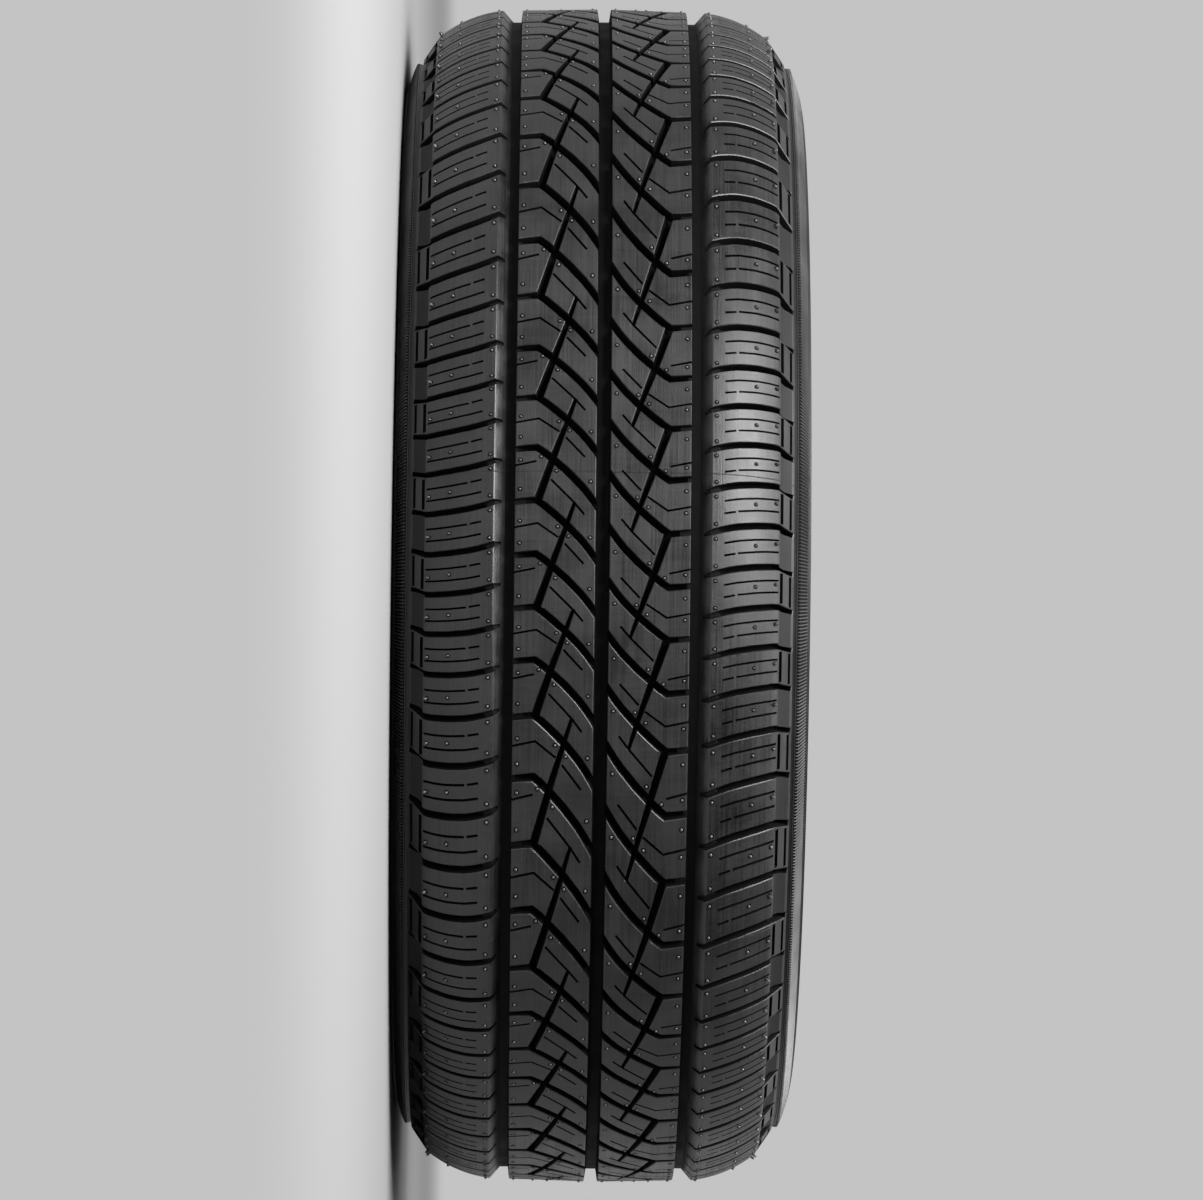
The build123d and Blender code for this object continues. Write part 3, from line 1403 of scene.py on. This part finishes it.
@dataclass(frozen=True)
class Rubber:
    """Finish of a rubber surface: its darkest and dustiest tones, their roughness, its streaks and relief,
    and the painted shade that darkens it with depth.
    """

    name: str
    tones: Point
    roughness: Point
    streaks: float
    relief: Relief = Relief.NONE
    specular: float = 0.5
    # Painted shade: from the first of these depths under the tread's surface to the second, in millimetres,
    # the colour darkens towards the deepest tone.
    painted_shade_start: float = 4.5
    painted_shade_end: float = 8.5
    relief_height: float = 0.00022
    mould_parts: int = 8
    mould_angle: float = -101.2
    mould_line: Point = (0.0003, 0.0012)
    ring_rate: float = 700.0
    lattice_across: float = 90.0
    lattice_round: float = 180.0
    ridge_share: float = 0.12
    pattern_weight: float = 2.0
    bump_strength: float = 0.5
    # Colour of the painted shade at full depth.
    painted_shade_tone: float = 0.002
    deep_roughness: float = 0.3
    blueness: float = 1.04

    def pattern(self, bench: Bench, places: Sockets) -> Feed:
        """Give the height of the relief, from 0 to 1.

        Args:
            bench: Bench of the material.
            places: Radius, turn and height of the place.

        Returns:
            A socket, or 0 where there is no relief.
        """
        if self.relief is Relief.MOULD_LINES:
            start = self.mould_angle / 360
            count = bench.math("MULTIPLY", bench.math("SUBTRACT", places["Turn"], start), self.mould_parts)
            return bench.ranged(bench.math("PINGPONG", count, 0.5), *self.mould_line, 1.0, 0.0)
        if self.relief is Relief.RINGS:
            return bench.math("PINGPONG", bench.math("MULTIPLY", places["Radius"], self.ring_rate), 1.0)
        if self.relief is Relief.LATTICE:
            across = bench.math("MULTIPLY", places["Height"], self.lattice_across)
            around = bench.math("MULTIPLY", places["Turn"], self.lattice_round)
            ways = [bench.math(way, around, across) for way in ("ADD", "SUBTRACT")]
            folded = [bench.math("PINGPONG", way, 0.5) for way in ways]
            ridges = [bench.ranged(way, 0.0, self.ridge_share, 1.0, 0.0) for way in folded]
            return bench.math("MAXIMUM", *ridges)
        return 0.0

    def material(self, grain: Tree, places: Tree) -> Material:
        """Build the material.

        Args:
            grain: Group for the rubber's skin.
            places: Group for places about the axle.

        Returns:
            The material.
        """
        material = bpy.data.materials.new(self.name)
        material.use_nodes = True
        bench = Bench(material.node_tree)
        place = bench.add("ShaderNodeTexCoord", {}).outputs["Object"]
        skin = bench.group(grain, Place=place, Streaks=self.streaks)
        pattern = self.pattern(bench, bench.group(places, Place=place))
        depth = bench.add("ShaderNodeAttribute", {}, attribute_name=DEPTH).outputs["Fac"]
        # Painted shade: the deeper a point lies under the tread's surface, the nearer its colour comes to the
        # deepest tone; its roughness rises with it.
        shade = bench.ranged(depth, self.painted_shade_start, self.painted_shade_end, 0.0, 1.0)
        tones = [(tone, tone, tone * self.blueness, 1) for tone in (*self.tones, self.painted_shade_tone)]
        colour = bench.mix(shade, bench.mix(skin["Tone"], *tones[:2]), tones[2])
        height = bench.math("ADD", skin["Relief"], bench.math("MULTIPLY", pattern, self.pattern_weight))
        feeds = {"Height": height, "Strength": self.bump_strength, "Distance": self.relief_height}
        bump = bench.add("ShaderNodeBump", feeds)
        gloss = bench.ranged(skin["Tone"], 0.0, 1.0, *self.roughness)
        roughness = bench.math("ADD", gloss, bench.math("MULTIPLY", shade, self.deep_roughness))
        shader = material.node_tree.nodes["Principled BSDF"]
        links = material.node_tree.links
        links.new(colour, shader.inputs["Base Color"])
        links.new(roughness, shader.inputs["Roughness"])
        links.new(bump.outputs["Normal"], shader.inputs["Normal"])
        shader.inputs["Specular IOR Level"].default_value = self.specular
        return material


@dataclass(frozen=True)
class SoftBox:
    """Soft lamp that faces the tyre: where it hangs, its length and width, and the radiance of its face."""

    name: str
    place: Spot
    size: Point
    brightness: float

    def hang(self) -> None:
        """Hang the lamp in the scene."""
        data = bpy.data.lights.new(self.name, "AREA")
        data.shape = "RECTANGLE"
        data.size, data.size_y = self.size
        data.energy = self.brightness * math.pi * self.size[0] * self.size[1]
        lamp = bpy.data.objects.new(self.name, data)
        lamp.location = self.place
        lamp.rotation_euler = (-Vector(self.place)).to_track_quat("-Z", "Y").to_euler()
        bpy.context.scene.collection.objects.link(lamp)


@dataclass(frozen=True)
class Studio:
    """Floor, light and camera. The camera looks at the tread and is rolled on its side."""

    distance: float = 4.23
    lens: float = 210.2
    roll: float = 0.012
    yaw: float = -0.0088
    shift_right: float = -0.00282
    shift_up: float = 0.00263
    floor_tone: float = 0.44
    ambient: float = 0.03
    dim: float = 0.03
    backdrop: float = 0.55
    near_floor: float = 0.9
    far_floor: float = 2.6
    floor_size: float = 60.0
    floor_roughness: float = 0.9
    floor_specular: float = 0.2
    sensor: float = 36.0
    view_reach: float = 100.0
    front: float = -0.4
    rear: float = 0.6
    lamps: tuple[SoftBox, ...] = (
        SoftBox("key", (-1.15, -1.85, 1.9), (1.9, 1.7), 11.5),
        SoftBox("top", (-0.2, -0.3, 2.3), (1.6, 1.2), 3.4),
    )

    def camera(self) -> None:
        """Set up the camera: its right is the tyre's axle, and its up is the minus X direction."""
        right = Vector(
            (
                -math.sin(self.roll),
                math.sin(self.yaw) * math.cos(self.roll),
                math.cos(self.yaw) * math.cos(self.roll),
            )
        )
        ahead = Vector((0, math.cos(self.yaw), -math.sin(self.yaw)))
        up = right.cross(ahead)
        place = -right * self.shift_right - up * self.shift_up - ahead * self.distance
        data = bpy.data.cameras.new("camera")
        data.lens = self.lens
        data.sensor_width = self.sensor
        data.clip_end = self.view_reach
        camera = bpy.data.objects.new("camera", data)
        bpy.context.scene.collection.objects.link(camera)
        turn = Matrix((right, up, -ahead)).transposed()
        camera.matrix_world = Matrix.Translation(place) @ turn.to_4x4()
        bpy.context.scene.camera = camera

    def seen(self, bench: Bench) -> Socket:
        """Give 1 on what the camera sees straight, in a mirror or through glass, and 0 elsewhere.

        Args:
            bench: Bench of the material or the world.

        Returns:
            The number.
        """
        path = bench.add("ShaderNodeLightPath", {}).outputs
        seen = bench.math("MAXIMUM", path["Is Camera Ray"], path["Is Glossy Ray"])
        return bench.math("MAXIMUM", seen, path["Is Transmission Ray"])

    def floor(self, places: Tree) -> None:
        """Lay a wide pale floor, which goes over into the backdrop away from the tyre.

        Args:
            places: Group for places about the axle.
        """
        bpy.ops.mesh.primitive_plane_add(size=self.floor_size, location=(0, 0, CAD_BOX[0].z))
        floor = added("floor")
        material = bpy.data.materials.new("pale_floor")
        material.use_nodes = True
        shader = material.node_tree.nodes["Principled BSDF"]
        shader.inputs["Base Color"].default_value = (*[self.floor_tone] * 3, 1)
        shader.inputs["Roughness"].default_value = self.floor_roughness
        shader.inputs["Specular IOR Level"].default_value = self.floor_specular
        bench = Bench(material.node_tree)
        place = bench.add("ShaderNodeTexCoord", {}).outputs["Object"]
        radius = bench.group(places, Place=place)["Radius"]
        away = bench.eased(radius, self.near_floor, self.far_floor)
        share = bench.math("MULTIPLY", away, self.seen(bench))
        glow = bench.add("ShaderNodeEmission", {"Strength": self.backdrop}).outputs[0]
        mixed = bench.add("ShaderNodeMixShader", {0: share, 1: shader.outputs[0], 2: glow}).outputs[0]
        bench.tree.links.new(mixed, bench.tree.nodes["Material Output"].inputs["Surface"])
        floor.data.materials.append(material)

    def sky(self) -> None:
        """Light the room softly from all round, and show a pale backdrop behind the tyre and a dim room."""
        world = bpy.data.worlds.new("studio")
        world.use_nodes = True
        bench = Bench(world.node_tree)
        way = bench.add("ShaderNodeTexCoord", {}).outputs["Generated"]
        behind = bench.add("ShaderNodeSeparateXYZ", {0: way}).outputs["Y"]
        shown = bench.ranged(behind, self.front, self.rear, self.dim, self.backdrop)
        added_light = bench.math("SUBTRACT", shown, self.ambient)
        strength = bench.math("MULTIPLY_ADD", self.seen(bench), added_light, self.ambient)
        background = world.node_tree.nodes["Background"]
        background.inputs["Color"].default_value = (1, 1, 1, 1)
        world.node_tree.links.new(strength, background.inputs["Strength"])
        bpy.context.scene.world = world

    def build(self, places: Tree) -> None:
        """Set up the camera, the floor and the light.

        Args:
            places: Group for places about the axle.
        """
        self.camera()
        self.floor(places)
        for lamp in self.lamps:
            lamp.hang()
        self.sky()
        bpy.context.scene.view_settings.view_transform = "Standard"


# Below 4.5 mm depth, on the sloping sides of the ribs, the tread rubber darkens with painted shade.
TREAD = Rubber(
    "tread_rubber",
    tones=(0.009, 0.030),
    roughness=(0.30, 0.48),
    streaks=0.9,
    relief=Relief.MOULD_LINES,
    specular=0.75,
)
# Painted shade: near-black rubber on the walls and floors of the grooves and on the band between the
# sidewall's ribs, darker still with depth.
GROOVE_PAINTED_SHADE = Rubber(
    "groove_painted_shade",
    tones=(0.003, 0.007),
    roughness=(0.6, 0.8),
    streaks=0.3,
    specular=0.15,
    painted_shade_start=0.4,
    painted_shade_end=3.5,
)
SIDEWALL = Rubber(
    "sidewall_rubber",
    tones=(0.018, 0.036),
    roughness=(0.36, 0.50),
    streaks=0.2,
    relief=Relief.RINGS,
    specular=0.75,
)
LINING = Rubber(
    "lining_rubber", tones=(0.020, 0.045), roughness=(0.55, 0.75), streaks=0.2, relief=Relief.LATTICE
)
# Painted light: the sidewall's fine ribs are several times lighter than the rest of the rubber, so that they
# stand out bright.
RIDGE_PAINTED_LIGHT = Rubber("ridge_painted_light", tones=(0.08, 0.16), roughness=(0.30, 0.45), streaks=0.2, specular=0.75)
# Painted shade: near-black rubber on the raised floors of the grooves.
BAR = Rubber("bar_painted_shade", tones=(0.003, 0.008), roughness=(0.6, 0.8), streaks=0.3, specular=0.18)
# Painted highlight: the vent pips are several times lighter than the tread, so that they show as bright dots.
PIP = Rubber("pip_rubber", tones=(0.070, 0.140), roughness=(0.14, 0.22), streaks=0.0, specular=1.0)
# Painted shade: darker, duller rubber in the buttress's hollows.
HOLLOW_PAINTED_SHADE = Rubber("hollow_painted_shade", tones=(0.010, 0.022), roughness=(0.5, 0.7), streaks=0.3, specular=0.4)
RUBBERS = (TREAD, GROOVE_PAINTED_SHADE, SIDEWALL, LINING, RIDGE_PAINTED_LIGHT, BAR, PIP, HOLLOW_PAINTED_SHADE)

# Rubbers of the casing's zones and of the ribs' patches: the grooves', bars' and hollows' rubbers carry
# painted shade, the pips' a painted highlight.
ZONES = {Zone.GROOVES: GROOVE_PAINTED_SHADE, Zone.BAND: GROOVE_PAINTED_SHADE, Zone.SIDEWALL: SIDEWALL, Zone.LINING: LINING}
PATCHES = {Patch.TOP: TREAD, Patch.GROOVE_PAINTED_SHADE: GROOVE_PAINTED_SHADE, Patch.BAR: BAR, Patch.PIP: PIP, Patch.HOLLOW_PAINTED_SHADE: HOLLOW_PAINTED_SHADE}

# Pitches round the tyre.
CENTRE_PITCHES = 66
SHOULDER_PITCHES = 84


def write_sizes() -> None:
    """Bring the view layer up to date."""
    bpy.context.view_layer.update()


def main() -> None:
    """Build the tyre and its studio."""
    logging.basicConfig(level=logging.INFO, format="%(message)s")
    section = TyreSection.from_frame()
    groups = RubberSkin().group(), round_places()
    finishes = {rubber: rubber.material(*groups) for rubber in RUBBERS}
    casing = Casing(section)
    casing.dress(casing.build(), {zone: finishes[rubber] for zone, rubber in ZONES.items()})
    for half in Half:
        band = SidewallBand(section, half)
        band.dress(band.build(), finishes[RIDGE_PAINTED_LIGHT])
    ribs = (
        CentreRib(section, PitchPlan(CENTRE_PITCHES)),
        ShoulderRib(section, PitchPlan(SHOULDER_PITCHES)),
    )
    for rib in ribs:
        rib.dress(rib.build(), {patch: finishes[rubber] for patch, rubber in PATCHES.items()})
    Studio().build(groups[1])
    write_sizes()


if __name__ == "__main__":
    main()
